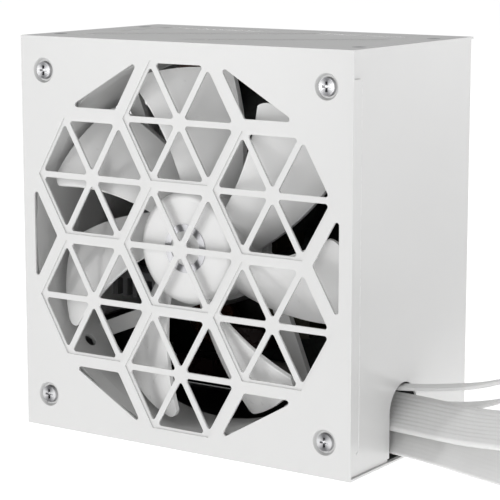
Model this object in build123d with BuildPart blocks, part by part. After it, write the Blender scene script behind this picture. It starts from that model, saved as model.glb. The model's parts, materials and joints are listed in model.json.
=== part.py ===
from build123d import *
import os
from math import atan2, cos, radians, sin, sqrt, tan

os.makedirs("parts", exist_ok=True)

# A desktop power supply standing on one of its narrow sides, in millimetres.
# +X is the cable side, -X the mains side, -Y the fan side, +Y the closed back, +Z up.
# The origin is the middle of the side that it stands on.

# ---- Driving dimensions: the casing
case_length = 146.0      # mains side to cable side
case_height = 86.0       # fan side to back
case_width = 150.0       # the side it stands on to the side above
sheet = 0.8              # steel sheet
seam = 0.15              # gap between the cover and the base shell

# ---- Fan side: the stamped grille
hexagon_count = 6        # hexagons around the middle one
hexagon_pitch = 46.3     # middle to middle
window_apothem = 20.8    # hexagon middle to the flat edge of its windows
spoke_width = 2.24
window_corner = 1.0
pocket_margin = 1.05     # pocket outline beyond the windows
pocket_depth = 0.5
rim_rib = 5.3            # rib between a hexagon and a rim window
rim_reach = 67.7         # middle of the grille to a rim window's long edge

# ---- Fan
fan_size = 140.0
fan_thickness = 25.0
fan_hole_spacing = 124.5
fan_hole_radius = 2.2
flange_thickness = 3.5
flange_corner = 6.0
duct_radius = 68.0
duct_wall = 1.6
duct_flare = 0.6         # how much wider the mouth of the duct is
flare_depth = 6.0
blade_count = 7
rotor_phase = 80.8       # turn of the first blade, counter-clockwise seen from the fan side
blade_tip_gap = 2.7      # blade tip to duct
blade_thickness = 1.7
hub_radius = 21.0
hub_wall = 1.6
hub_rounding = 3.0
hub_front_setback = 2.0  # hub face behind the front of the fan frame
rotor_rear_gap = 1.5     # rotor to motor plate
blade_front_setback = 2.4
badge_radius = 9.0
badge_hole_radius = 6.4
badge_thickness = 0.3
motor_plate_radius = 22.5
motor_plate_thickness = 2.5
strut_count = 4
strut_width = 6.0
strut_offset = 17.0      # distance of a strut's line from the fan's axis
strut_angle = 202.0
lead_hole_radius = 2.6
lead_hole_angle = 218.6
lead_hole_setback = 12.5 # behind the front of the fan frame
shaft_radius = 1.5
bearing_clearance = 0.05
bearing_wall = 1.5
bearing_tube_wall = 1.5
bearing_length = 12.0
clip_thickness = 0.5
clip_reach = 1.1
magnet_thickness = 1.5
magnet_length = 12.0
yoke_thickness = 1.0
air_gap = 0.8
stator_thickness = 8.0
winding_thickness = 2.2
motor_board_thickness = 1.0
motor_board_gap = 1.0

# ---- Screws
screw_head_radius = 3.4
screw_head_height = 1.2
screw_shank_radius = 2.0
screw_length = 9.0
dimple_clearance = 0.6   # dimple floor beyond the screw head
dimple_flare = 0.7
cross_width = 0.9
cross_length = 3.6
side_screw_radius = 1.45
side_screw_head_radius = 2.5
side_screw_length = 4.0
side_hole_clearance = 0.1
side_screw_inset = 7.0   # from the mains and cable sides
side_screw_rows = (-28.0, 25.0)

# ---- Cover lips and the marks pressed into the cover's upper side
lip_width = 5.5
lip_end_gap = 10.0       # lip end to the narrow sides
mains_lip_length = 96.0
emboss_depth = 0.35
emboss_length = 113.0
emboss_depth_size = 58.0
emboss_corner = 3.0
emboss_offset = -1.5
stripe_width = 9.0
stripe_angle = 33.0
stripe_offsets = (-38.0, 27.0)

# ---- Cable outlet
outlet_middle = -4.4     # along Y
outlet_radius = 9.9
outlet_height = 28.0
bush_wall = 1.2
bush_length = 5.0
bush_clearance = 0.1
tab_width = 10.0
tab_reach = 36.0
tab_hole_clearance = 0.05

# ---- Mains side
thread_radius = 1.42     # 6-32 mounting thread, as drilled
thread_collar_radius = 2.7
thread_collar_length = 1.05
mount_near = 6.0         # mounting holes from the edges
mount_far = 30.0
mount_low = 16.0
vent_across = 5.0        # flat to flat
vent_pitch = 6.2
vent_columns = 11
vent_rows = 8
vent_middle_z = 112.0
inlet_middle = (10.0, 24.0)   # (Y, Z) on the mains side
inlet_length = 27.0
inlet_width = 19.8
inlet_wall = 1.4
inlet_depth = 19.0
inlet_floor = 2.5
inlet_corner = 5.0
inlet_flange_length = 50.0
inlet_flange_width = 22.5
inlet_flange_thickness = 2.0
inlet_screw_spacing = 40.0
inlet_screw_radius = 1.6
inlet_screw_head_radius = 2.9
pin_thickness = 2.0
pin_width = 4.0
pin_spacing = 7.0
pin_offset = 2.0
pin_length = 14.0
pin_tail = 7.0
cutout_clearance = 0.2
switch_middle = (10.0, 66.0)  # (Y, Z) on the mains side
switch_length = 19.2
switch_width = 12.8
switch_wall = 1.1
switch_depth = 14.0
switch_bezel = 1.4
rocker_clearance = 0.25
rocker_tilt = 10.0       # either side of level
pivot_radius = 1.1
pivot_clearance = 0.06
terminal_thickness = 0.8
terminal_width = 4.8
terminal_length = 7.5

# ---- Board and what stands on it
liner_thickness = 0.4
standoff_height = 5.2
standoff_radius = 2.8
standoff_bore = 1.25
board_thickness = 1.6
board_margin = 6.0       # board edge inside the casing
board_hole_inset = 5.0
board_screw_head = 2.6
board_screw_head_height = 1.6
lead_clearance = 0.1     # body of a part above the board


def front_plane(y):
    """Sketch plane facing -Y: sketch x is X and sketch y is Z."""
    return Plane(origin=(0, y, 0), x_dir=(1, 0, 0), z_dir=(0, -1, 0))


def side_plane(x):
    """Sketch plane facing +X: sketch x is Y and sketch y is Z."""
    return Plane(origin=(x, 0, 0), x_dir=(0, 1, 0), z_dir=(1, 0, 0))


def polar(radius, angle):
    return (radius * cos(radians(angle)), radius * sin(radians(angle)))


# ---- Places worked out from the sizes
half_length = case_length / 2
half_height = case_height / 2
middle_z = case_width / 2
front_y = -half_height
back_y = half_height
face_x = half_length - sheet - seam          # outer face of the base shell's ends
inner_x = face_x - sheet
low_z = sheet + seam
high_z = case_width - sheet - seam
dimple_depth = screw_head_height
fan_front_y = front_y + sheet + dimple_depth
fan_back_y = fan_front_y + fan_thickness
hub_front_y = fan_front_y + hub_front_setback
motor_plate_y = fan_back_y - motor_plate_thickness
rotor_back_y = motor_plate_y - rotor_rear_gap
blade_front_y = fan_front_y + blade_front_setback
blade_tip_radius = duct_radius - blade_tip_gap
fan_centre = (0, middle_z)
board_y = back_y - sheet - standoff_height - board_thickness   # the side with the parts on


# ==== Cover: fan side with the grille, two narrow sides, two lips ====
hexagon_middles = [(0, middle_z)] + [
    (x, middle_z + z) for x, z in (polar(hexagon_pitch, 30 + 60 * i) for i in range(hexagon_count))
]
window_apex = spoke_width / 2 / sin(radians(30))
window_radius = (window_apothem - window_apex) * 2 / 3
window_middle = window_apothem - window_radius / 2
pocket_radius = (window_apothem + pocket_margin) / cos(radians(30))
rim_apex = (hexagon_pitch / 2 + window_apothem + rim_rib) / cos(radians(30))
rim_half = (rim_reach - rim_apex) * tan(radians(60))
fan_holes = [
    (x * fan_hole_spacing / 2, middle_z + z * fan_hole_spacing / 2)
    for x in (-1, 1) for z in (-1, 1)
]
dimple_radius = screw_head_radius + dimple_clearance
side_holes = [(x * (half_length - side_screw_inset), y) for x in (-1, 1) for y in side_screw_rows]

with BuildPart() as cover_shell:
    with BuildSketch(front_plane(front_y)):
        with Locations((0, middle_z)):
            Rectangle(case_length, case_width)
    extrude(amount=-sheet)
    for level in (0, case_width - sheet):
        with BuildSketch(Plane.XY.offset(level)):
            Rectangle(case_length, case_height)
        extrude(amount=sheet)
    with BuildSketch(side_plane(half_length)):
        with Locations((front_y + lip_width / 2, middle_z)):
            Rectangle(lip_width, case_width - 2 * lip_end_gap)
    extrude(amount=-sheet)
    with BuildSketch(side_plane(-half_length)):
        with Locations((front_y + lip_width / 2, lip_end_gap + mains_lip_length / 2)):
            Rectangle(lip_width, mains_lip_length)
    extrude(amount=sheet)
    # The sheet stands back behind each pocket and each screw dimple.
    with BuildSketch(front_plane(front_y + sheet)):
        with Locations(*hexagon_middles):
            RegularPolygon(pocket_radius + sheet / 2, 6)
    extrude(amount=-pocket_depth)
    with BuildSketch(front_plane(front_y + sheet)):
        with Locations(*fan_holes):
            Circle(dimple_radius + sheet)
    extrude(amount=-dimple_depth)
    with BuildSketch(front_plane(front_y)):
        with Locations(*hexagon_middles):
            RegularPolygon(pocket_radius, 6)
    extrude(amount=-pocket_depth, mode=Mode.SUBTRACT)
    with BuildSketch(front_plane(front_y)) as windows:
        with Locations(*hexagon_middles):
            with PolarLocations(window_middle, 6, start_angle=30):
                RegularPolygon(window_radius, 3, rotation=180)
        with Locations(fan_centre):
            with PolarLocations(0, 6):
                Polygon((rim_apex, 0), (rim_reach, rim_half), (rim_reach, -rim_half), align=None)
        fillet(windows.vertices(), radius=window_corner)
    extrude(amount=-(sheet + pocket_depth), mode=Mode.SUBTRACT)
    with Locations(*[Location(Plane(origin=(x, front_y + dimple_depth, z), z_dir=(0, -1, 0))) for x, z in fan_holes]):
        Cone(dimple_radius, dimple_radius + dimple_flare, dimple_depth,
             align=(Align.CENTER, Align.CENTER, Align.MIN), mode=Mode.SUBTRACT)
    with BuildSketch(front_plane(front_y)):
        with Locations(*fan_holes):
            Circle(screw_shank_radius + side_hole_clearance)
    extrude(amount=-(sheet + dimple_depth), mode=Mode.SUBTRACT)
    # Countersunk holes for the screws on the narrow sides.
    for level, turn in ((0, 1), (case_width, -1)):
        with Locations(*[Location(Plane(origin=(x, y, level), z_dir=(0, 0, turn))) for x, y in side_holes]):
            Cone(side_screw_head_radius + side_hole_clearance, side_screw_radius + side_hole_clearance, sheet,
                 align=(Align.CENTER, Align.CENTER, Align.MIN), mode=Mode.SUBTRACT)
    # Shallow panel with two slanting bars, pressed into the upper side.
    with BuildSketch(Plane.XY.offset(case_width)):
        with Locations((emboss_offset, 0)):
            RectangleRounded(emboss_length, emboss_depth_size, emboss_corner)
            for offset in stripe_offsets:
                with Locations(Location((offset, 0, 0), (0, 0, stripe_angle))):
                    Rectangle(2 * emboss_length, stripe_width, mode=Mode.SUBTRACT)
    extrude(amount=-emboss_depth, mode=Mode.SUBTRACT)
cover_shell.part.label = "cover_shell"
export_step(cover_shell.part, "parts/cover_shell.step")


# ==== Base shell: back, cable side with the outlet, mains side ====
mount_holes = [
    (back_y - mount_near, mount_near),
    (back_y - mount_near, case_width - mount_near),
    (front_y + mount_low, mount_near),
    (front_y + mount_near, case_width - mount_far),
]
inlet_holes = [(inlet_middle[0] + s * inlet_screw_spacing / 2, inlet_middle[1]) for s in (-1, 1)]
vent_row_pitch = vent_pitch * sin(radians(60))
vent_holes = [
    ((column - (vent_columns - 1) / 2) * vent_pitch + (row % 2 - 0.5) * vent_pitch / 2,
     vent_middle_z + (row - (vent_rows - 1) / 2) * vent_row_pitch)
    for row in range(vent_rows) for column in range(vent_columns)
]

with BuildPart() as base_shell:
    with BuildSketch(front_plane(back_y)):
        with Locations((0, middle_z)):
            Rectangle(2 * face_x, high_z - low_z)
    extrude(amount=sheet)
    for x, way in ((face_x, -1), (-face_x, 1)):
        with BuildSketch(side_plane(x)):
            with Locations(((sheet + seam) / 2, middle_z)):
                Rectangle(case_height - sheet - seam, high_z - low_z)
        extrude(amount=way * sheet)
    # Tabs under the cover's narrow sides, with the holes for its screws.
    for level in (low_z, high_z - sheet):
        with BuildSketch(Plane.XY.offset(level)):
            for side in (-1, 1):
                with Locations((side * (inner_x - tab_width / 2), 0)):
                    Rectangle(tab_width, 2 * tab_reach)
            with Locations(*side_holes):
                Circle(side_screw_radius + tab_hole_clearance, mode=Mode.SUBTRACT)
        extrude(amount=sheet)
    with BuildSketch(side_plane(face_x)):
        with Locations((outlet_middle, outlet_height - outlet_radius)):
            Circle(outlet_radius)
        with Locations((outlet_middle, (outlet_height - outlet_radius) / 2)):
            Rectangle(2 * outlet_radius, outlet_height - outlet_radius)
    extrude(amount=-sheet, mode=Mode.SUBTRACT)
    # The outlet runs down through the lower tab as well.
    with BuildSketch(Plane.XY.offset(low_z)):
        with Locations((face_x - (tab_width + sheet) / 2, outlet_middle)):
            Rectangle(tab_width + sheet, 2 * (outlet_radius + bush_wall + bush_clearance))
    extrude(amount=sheet, mode=Mode.SUBTRACT)
    # Collars that carry the mounting threads.
    with BuildSketch(side_plane(-inner_x)):
        with Locations(*mount_holes):
            Circle(thread_collar_radius)
    extrude(amount=thread_collar_length)
    with BuildSketch(side_plane(-face_x)):
        with Locations(*mount_holes):
            Circle(thread_radius)
    extrude(amount=sheet + thread_collar_length, mode=Mode.SUBTRACT)
    with BuildSketch(side_plane(-face_x)):
        with Locations(inlet_middle):
            RectangleRounded(inlet_length + 2 * cutout_clearance, inlet_width + 2 * cutout_clearance, 2)
        with Locations(*inlet_holes):
            Circle(inlet_screw_radius + side_hole_clearance)
        with Locations(switch_middle):
            Rectangle(switch_length + 2 * cutout_clearance, switch_width + 2 * cutout_clearance)
        with Locations(*vent_holes):
            RegularPolygon(vent_across / 2, 6, major_radius=False, rotation=30)
    extrude(amount=sheet, mode=Mode.SUBTRACT)
base_shell.part.label = "base_shell"
export_step(base_shell.part, "parts/base_shell.step")


# ==== Screws ====
with BuildPart() as fan_screws:
    for x, z in fan_holes:
        head = Plane(origin=(x, front_y + screw_head_height, z), z_dir=(0, -1, 0))
        with BuildSketch(head):
            Circle(screw_head_radius)
        extrude(amount=screw_head_height, taper=12)
        with BuildSketch(head):
            Circle(screw_shank_radius)
        extrude(amount=-screw_length)
        with BuildSketch(head.offset(screw_head_height)):
            Rectangle(cross_length, cross_width)
            Rectangle(cross_width, cross_length)
        extrude(amount=-screw_head_height * 0.8, mode=Mode.SUBTRACT)
fan_screws.part.label = "fan_screws"
export_step(fan_screws.part, "parts/fan_screws.step")

with BuildPart() as side_screws:
    for level, turn in ((0, 1), (case_width, -1)):
        for x, y in side_holes:
            outside = Plane(origin=(x, y, level), z_dir=(0, 0, turn))
            with Locations(outside.location):
                Cone(side_screw_head_radius, side_screw_radius, sheet,
                     align=(Align.CENTER, Align.CENTER, Align.MIN))
                Cylinder(side_screw_radius, side_screw_length, align=(Align.CENTER, Align.CENTER, Align.MIN))
            with BuildSketch(outside):
                Rectangle(cross_length * 0.7, cross_width * 0.7)
                Rectangle(cross_width * 0.7, cross_length * 0.7)
            extrude(amount=sheet, mode=Mode.SUBTRACT)
side_screws.part.label = "side_screws"
export_step(side_screws.part, "parts/side_screws.step")


# ==== Fan frame: flanges, duct, swept struts, motor plate, bearing tube ====
post_radius = fan_hole_radius + 2.4
bearing_radius = shaft_radius + bearing_clearance + bearing_wall
bearing_tube_radius = bearing_radius + bearing_tube_wall
bearing_front_y = motor_plate_y - bearing_length - clip_thickness - 3
lead_hole_middle = polar(duct_radius, lead_hole_angle)

with BuildPart() as fan_frame:
    for y in (fan_front_y, fan_back_y - flange_thickness):
        with BuildSketch(front_plane(y)):
            with Locations(fan_centre):
                RectangleRounded(fan_size, fan_size, flange_corner)
        extrude(amount=-flange_thickness)
    with BuildSketch(front_plane(fan_front_y)):
        with Locations(fan_centre):
            Circle(duct_radius + duct_wall)
        with Locations(*fan_holes):
            Circle(post_radius)
    extrude(amount=-fan_thickness)
    with BuildSketch(front_plane(fan_front_y)):
        with Locations(fan_centre):
            Circle(duct_radius)
        with Locations(*fan_holes):
            Circle(fan_hole_radius)
    extrude(amount=-fan_thickness, mode=Mode.SUBTRACT)
    with Locations(Location(Plane(origin=(0, fan_front_y, middle_z), z_dir=(0, 1, 0)))):
        Cone(duct_radius + duct_flare, duct_radius, flare_depth,
             align=(Align.CENTER, Align.CENTER, Align.MIN), mode=Mode.SUBTRACT)
    lead_hole_plane = Plane(
        origin=(lead_hole_middle[0], fan_front_y + lead_hole_setback, middle_z + lead_hole_middle[1]),
        z_dir=(lead_hole_middle[0], 0, lead_hole_middle[1]),
    )
    with Locations(lead_hole_plane.location):
        Cylinder(lead_hole_radius, 4 * duct_wall, mode=Mode.SUBTRACT)
    with BuildSketch(front_plane(fan_back_y)):
        with Locations(fan_centre):
            with PolarLocations(0, strut_count, start_angle=strut_angle):
                with Locations((duct_radius / 2 + duct_wall / 2, strut_offset)):
                    Rectangle(duct_radius + duct_wall, strut_width)
            Circle(duct_radius + duct_wall / 2, mode=Mode.INTERSECT)
            Circle(motor_plate_radius)
    extrude(amount=motor_plate_thickness)
    with BuildSketch(front_plane(motor_plate_y)):
        with Locations(fan_centre):
            Circle(bearing_tube_radius)
    extrude(amount=motor_plate_y - bearing_front_y)
    with BuildSketch(front_plane(motor_plate_y)):
        with Locations(fan_centre):
            Circle(bearing_radius)
    extrude(amount=motor_plate_y - bearing_front_y, mode=Mode.SUBTRACT)
fan_frame.part.label = "fan_frame"
export_step(fan_frame.part, "parts/fan_frame.step")


# ==== Fan rotor: hub cup with seven swept blades ====
hub_inner_radius = hub_radius - hub_wall
hub_floor_y = hub_front_y + hub_wall
boss_radius = shaft_radius + 2.0
boss_length = 2.4
blade_depth = rotor_back_y - blade_front_y
blade_middle_y = (rotor_back_y + blade_front_y) / 2
# Station radius, turn of the blade's middle, half chord and half rise of its section.
blade_stations = (
    (hub_radius - 5, -13.8, 7.5, 0.46 * blade_depth),
    (0.62 * blade_tip_radius, 4.6, 13.8, 0.47 * blade_depth),
    (blade_tip_radius + 3, 17.2, 20.7, 0.46 * blade_depth),
)
blade_camber = 2.2
blade_lead = (12.0, 23.7, 33.0)      # leading edge's angle at the hub, half way and at the tip
blade_trail = (-32.5, -11.0, 0.3)    # trailing edge's angle at the same three places
blade_lead_corner = 4.5
blade_trail_corner = 3.0

blade_radii = (hub_radius - hub_wall / 2, (hub_radius + blade_tip_radius) / 2, blade_tip_radius)
with BuildPart() as blade:
    for radius, turn, half_chord, half_rise in blade_stations:
        x, z = polar(radius, turn)
        station = Plane(
            origin=(x, blade_middle_y, middle_z + z),
            x_dir=(-sin(radians(turn)), 0, cos(radians(turn))),
            z_dir=(cos(radians(turn)), 0, sin(radians(turn))),
        )
        chord = sqrt(half_chord ** 2 + half_rise ** 2)
        across = Vector(-half_rise / chord, half_chord / chord)
        half_thick = across * (blade_thickness / 2)
        lead = Vector(half_chord, half_rise)
        crown = across * blade_camber
        with BuildSketch(station):
            with BuildLine():
                upper = ThreePointArc(-lead + half_thick, crown + half_thick, lead + half_thick)
                lower = ThreePointArc(-lead - half_thick, crown - half_thick, lead - half_thick)
                Line(upper @ 0, lower @ 0)
                Line(upper @ 1, lower @ 1)
            make_face()
    loft()
    with BuildSketch(front_plane(rotor_back_y)) as outline:
        with BuildLine(Location((0, middle_z))):
            leading = ThreePointArc(*[polar(r, a) for r, a in zip(blade_radii, blade_lead)])
            trailing = ThreePointArc(*[polar(r, a) for r, a in zip(blade_radii, blade_trail)])
            ThreePointArc(leading @ 1, polar(blade_tip_radius, (blade_lead[2] + blade_trail[2]) / 2), trailing @ 1)
            ThreePointArc(leading @ 0, polar(blade_radii[0], (blade_lead[0] + blade_trail[0]) / 2), trailing @ 0)
        make_face()
        for angle, corner in ((blade_lead[2], blade_lead_corner), (blade_trail[2], blade_trail_corner)):
            x, z = polar(blade_tip_radius, angle)
            fillet(outline.vertices().sort_by_distance((x, middle_z + z))[0], radius=corner)
    extrude(amount=blade_depth, mode=Mode.INTERSECT)

with BuildPart() as fan_rotor:
    with BuildSketch(front_plane(rotor_back_y)):
        with Locations(fan_centre):
            Circle(hub_radius)
    extrude(amount=rotor_back_y - hub_front_y)
    fillet(fan_rotor.edges().group_by(Axis.Y)[0], radius=hub_rounding)
    with BuildSketch(front_plane(rotor_back_y)):
        with Locations(fan_centre):
            Circle(hub_inner_radius)
    extrude(amount=rotor_back_y - hub_floor_y, mode=Mode.SUBTRACT)
    with BuildSketch(front_plane(hub_floor_y + boss_length)):
        with Locations(fan_centre):
            Circle(boss_radius)
    extrude(amount=boss_length)
    for i in range(blade_count):
        add(blade.part.rotate(Axis((0, 0, middle_z), (0, -1, 0)), rotor_phase + 360 / blade_count * i))
    with BuildSketch(front_plane(hub_floor_y + boss_length)):
        with Locations(fan_centre):
            Circle(shaft_radius)
    extrude(amount=boss_length + hub_wall / 2, mode=Mode.SUBTRACT)
fan_rotor.part.label = "fan_rotor"
export_step(fan_rotor.part, "parts/fan_rotor.step")

with BuildPart() as hub_badge:
    with BuildSketch(front_plane(hub_front_y)):
        with Locations(fan_centre):
            Circle(badge_radius)
            Circle(badge_hole_radius, mode=Mode.SUBTRACT)
    extrude(amount=badge_thickness)
hub_badge.part.label = "hub_badge"
export_step(hub_badge.part, "parts/hub_badge.step")


# ==== Fan motor: shaft, bearing, yoke, magnet, stator, windings, board ====
yoke_inner_radius = hub_inner_radius - yoke_thickness
magnet_inner_radius = yoke_inner_radius - magnet_thickness
stator_radius = magnet_inner_radius - air_gap
shaft_front_y = hub_front_y + hub_wall / 2
shaft_back_y = motor_plate_y - 0.5
magnet_front_y = hub_floor_y + boss_length
magnet_back_y = magnet_front_y + magnet_length
stator_front_y = (magnet_front_y + magnet_back_y - stator_thickness) / 2
bearing_back_y = shaft_back_y - 2 * clip_thickness - bearing_clearance


def ring(outer, inner, y_from, y_to):
    """Plain ring about the fan's axis."""
    with BuildPart() as made:
        with BuildSketch(front_plane(y_to)):
            with Locations(fan_centre):
                Circle(outer)
                if inner:
                    Circle(inner, mode=Mode.SUBTRACT)
        extrude(amount=y_to - y_from)
    return made


fan_shaft = ring(shaft_radius, 0, shaft_front_y, shaft_back_y)
fan_shaft.part.label = "fan_shaft"
export_step(fan_shaft.part, "parts/fan_shaft.step")

fan_bearing = ring(bearing_radius, shaft_radius + bearing_clearance, bearing_back_y - bearing_length,
                   bearing_back_y)
fan_bearing.part.label = "fan_bearing"
export_step(fan_bearing.part, "parts/fan_bearing.step")

shaft_clip = ring(shaft_radius + clip_reach, shaft_radius, shaft_back_y - 2 * clip_thickness,
                  shaft_back_y - clip_thickness)
shaft_clip.part.label = "shaft_clip"
export_step(shaft_clip.part, "parts/shaft_clip.step")

rotor_yoke = ring(hub_inner_radius, yoke_inner_radius, hub_floor_y, magnet_back_y)
rotor_yoke.part.label = "rotor_yoke"
export_step(rotor_yoke.part, "parts/rotor_yoke.step")

rotor_magnet = ring(yoke_inner_radius, magnet_inner_radius, magnet_front_y, magnet_back_y)
rotor_magnet.part.label = "rotor_magnet"
export_step(rotor_magnet.part, "parts/rotor_magnet.step")

pole_count = 4
arm_width = 4.0
shoe_thickness = 1.8
core_wall = 2.0
with BuildPart() as fan_stator:
    with BuildSketch(front_plane(stator_front_y + stator_thickness)):
        with Locations(fan_centre):
            Circle(stator_radius)
            Circle(stator_radius - shoe_thickness, mode=Mode.SUBTRACT)
            with PolarLocations(stator_radius, pole_count, start_angle=45):
                Rectangle(4 * shoe_thickness, arm_width, mode=Mode.SUBTRACT)
            Circle(bearing_tube_radius + core_wall)
            with PolarLocations((stator_radius + bearing_tube_radius) / 2, pole_count):
                Rectangle(stator_radius - bearing_tube_radius - shoe_thickness / 2, arm_width)
            Circle(bearing_tube_radius, mode=Mode.SUBTRACT)
    extrude(amount=stator_thickness)
fan_stator.part.label = "fan_stator"
export_step(fan_stator.part, "parts/fan_stator.step")

winding_inner = bearing_tube_radius + core_wall + 0.6
winding_outer = stator_radius - shoe_thickness - 0.9
with BuildPart() as fan_windings:
    with BuildSketch(front_plane(stator_front_y + stator_thickness + winding_thickness)):
        with Locations(fan_centre):
            with PolarLocations((winding_inner + winding_outer) / 2, pole_count):
                Rectangle(winding_outer - winding_inner, arm_width + 2 * winding_thickness)
    extrude(amount=stator_thickness + 2 * winding_thickness)
    with BuildSketch(front_plane(stator_front_y + stator_thickness)):
        with Locations(fan_centre):
            with PolarLocations((winding_inner + winding_outer) / 2, pole_count):
                Rectangle(2 * (winding_outer - winding_inner), arm_width)
    extrude(amount=stator_thickness, mode=Mode.SUBTRACT)
fan_windings.part.label = "fan_windings"
export_step(fan_windings.part, "parts/fan_windings.step")

fan_motor_board = ring(stator_radius, bearing_tube_radius, motor_plate_y - motor_board_gap - motor_board_thickness,
                       motor_plate_y - motor_board_gap)
fan_motor_board.part.label = "fan_motor_board"
export_step(fan_motor_board.part, "parts/fan_motor_board.step")


# ==== Mains inlet: shroud, pins, screws ====
inlet_mouth_x = -half_length + 0.1
with BuildPart() as inlet_body:
    with BuildSketch(side_plane(-inner_x)):
        with Locations(inlet_middle):
            Rectangle(inlet_flange_length, inlet_flange_width)
        with Locations(*inlet_holes):
            Circle(inlet_screw_radius, mode=Mode.SUBTRACT)
    extrude(amount=inlet_flange_thickness)
    with BuildSketch(side_plane(inlet_mouth_x)):
        with Locations(inlet_middle):
            RectangleRounded(inlet_length, inlet_width, 2)
    extrude(amount=inlet_depth)
    with BuildSketch(side_plane(inlet_mouth_x)) as cavity:
        with Locations(inlet_middle):
            Rectangle(inlet_length - 2 * inlet_wall, inlet_width - 2 * inlet_wall)
        chamfer(cavity.vertices().group_by(Axis.Z)[0], length=inlet_corner)
    extrude(amount=inlet_depth - inlet_floor, mode=Mode.SUBTRACT)
inlet_body.part.label = "inlet_body"
export_step(inlet_body.part, "parts/inlet_body.step")

pin_places = ((-pin_spacing, -pin_offset), (0, pin_offset), (pin_spacing, -pin_offset))
inlet_floor_x = inlet_mouth_x + inlet_depth - inlet_floor
with BuildPart() as inlet_pins:
    with BuildSketch(side_plane(inlet_floor_x - pin_length)):
        with Locations(inlet_middle):
            with Locations(*pin_places):
                Rectangle(pin_thickness, pin_width)
    extrude(amount=pin_length)
    with BuildSketch(side_plane(inlet_floor_x + inlet_floor)):
        with Locations(inlet_middle):
            with Locations(*pin_places):
                Rectangle(terminal_thickness, pin_width)
    extrude(amount=pin_tail)
inlet_pins.part.label = "inlet_pins"
export_step(inlet_pins.part, "parts/inlet_pins.step")

with BuildPart() as inlet_screws:
    with BuildSketch(side_plane(-half_length)):
        with Locations(*inlet_holes):
            Circle(inlet_screw_head_radius)
    extrude(amount=sheet + seam)
    with BuildSketch(side_plane(-face_x)):
        with Locations(*inlet_holes):
            Circle(inlet_screw_radius)
    extrude(amount=2 * sheet + inlet_flange_thickness)
    with BuildSketch(side_plane(-half_length)):
        with Locations(*inlet_holes):
            Rectangle(cross_length, cross_width)
            Rectangle(cross_width, cross_length)
    extrude(amount=sheet, mode=Mode.SUBTRACT)
inlet_screws.part.label = "inlet_screws"
export_step(inlet_screws.part, "parts/inlet_screws.step")


# ==== Mains switch: housing and rocker ====
switch_y, switch_z = switch_middle
cavity_length = switch_length - 2 * switch_wall
cavity_width = switch_width - 2 * switch_wall
rocker_radius = cavity_length / 2 - rocker_clearance
rocker_middle = 2.2      # pivot to the middle of the rocker's face
rocker_slope = 10.0      # each half of the face rises outwards
rocker_half = sqrt(rocker_radius ** 2 - (rocker_middle + 1.3) ** 2)
corner_rise = rocker_middle + rocker_half * tan(radians(rocker_slope))
corner_angle = atan2(corner_rise, rocker_half) + radians(rocker_tilt)
pivot_x = -half_length + 0.1 + rocker_radius * sin(corner_angle)
pivot_reach = cavity_width / 2 + switch_wall * 0.6
switch_top_x = -half_length + 0.05

with BuildPart() as switch_body:
    with BuildSketch(side_plane(switch_top_x)):
        with Locations(switch_middle):
            Rectangle(switch_length + 2 * switch_bezel, switch_width + 2 * switch_bezel)
    extrude(amount=-face_x - switch_top_x)
    with BuildSketch(side_plane(-face_x)):
        with Locations(switch_middle):
            Rectangle(switch_length, switch_width)
    extrude(amount=switch_depth)
    with BuildSketch(side_plane(switch_top_x)):
        with Locations(switch_middle):
            Rectangle(cavity_length, cavity_width)
    extrude(amount=switch_depth - switch_wall, mode=Mode.SUBTRACT)
    with BuildSketch(Plane(origin=(pivot_x, switch_y, switch_z), z_dir=(0, 0, 1))):
        Circle(pivot_radius + pivot_clearance)
    extrude(amount=pivot_reach + pivot_clearance, both=True, mode=Mode.SUBTRACT)
switch_body.part.label = "switch_body"
export_step(switch_body.part, "parts/switch_body.step")

with BuildPart() as switch_rocker:
    tilted = Plane(
        origin=(pivot_x, switch_y, switch_z),
        x_dir=(sin(radians(rocker_tilt)), cos(radians(rocker_tilt)), 0),
        z_dir=(0, 0, 1),
    )
    rise = rocker_middle + rocker_radius * tan(radians(rocker_slope))
    with BuildSketch(tilted):
        Circle(rocker_radius)
        Polygon((0, rocker_middle), (rocker_radius, rise), (rocker_radius, -pivot_radius - 0.7),
                (-rocker_radius, -pivot_radius - 0.7), (-rocker_radius, rise), align=None, mode=Mode.INTERSECT)
    extrude(amount=cavity_width / 2 - rocker_clearance, both=True)
    with BuildSketch(tilted):
        Circle(pivot_radius)
    extrude(amount=pivot_reach, both=True)
switch_rocker.part.label = "switch_rocker"
export_step(switch_rocker.part, "parts/switch_rocker.step")

with BuildPart() as switch_terminals:
    with BuildSketch(side_plane(-face_x + switch_depth)):
        with Locations(switch_middle):
            with GridLocations(switch_length / 2, 1, 2, 1):
                Rectangle(terminal_thickness, terminal_width)
    extrude(amount=terminal_length)
switch_terminals.part.label = "switch_terminals"
export_step(switch_terminals.part, "parts/switch_terminals.step")


# ==== Main board, liner, standoffs, board screws ====
board_back_y = board_y + board_thickness
board_half_x = inner_x - board_margin
board_half_z = (high_z - low_z) / 2 - board_margin
board_holes = [
    (x * (board_half_x - board_hole_inset), middle_z + z * (board_half_z - board_hole_inset))
    for x in (-1, 1) for z in (-1, 1)
]
standoff_clearance = 0.2

with BuildPart() as main_board:
    with BuildSketch(front_plane(board_back_y)):
        with Locations((0, middle_z)):
            Rectangle(2 * board_half_x, 2 * board_half_z)
        with Locations(*board_holes):
            Circle(standoff_bore + standoff_clearance, mode=Mode.SUBTRACT)
    extrude(amount=board_thickness)
main_board.part.label = "main_board"
export_step(main_board.part, "parts/main_board.step")

with BuildPart() as liner:
    with BuildSketch(front_plane(back_y - sheet - seam)):
        with Locations((0, middle_z)):
            Rectangle(2 * (board_half_x + board_margin / 2), 2 * (board_half_z + board_margin / 2))
        with Locations(*board_holes):
            Circle(standoff_radius + standoff_clearance, mode=Mode.SUBTRACT)
    extrude(amount=liner_thickness)
liner.part.label = "liner"
export_step(liner.part, "parts/liner.step")

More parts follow.
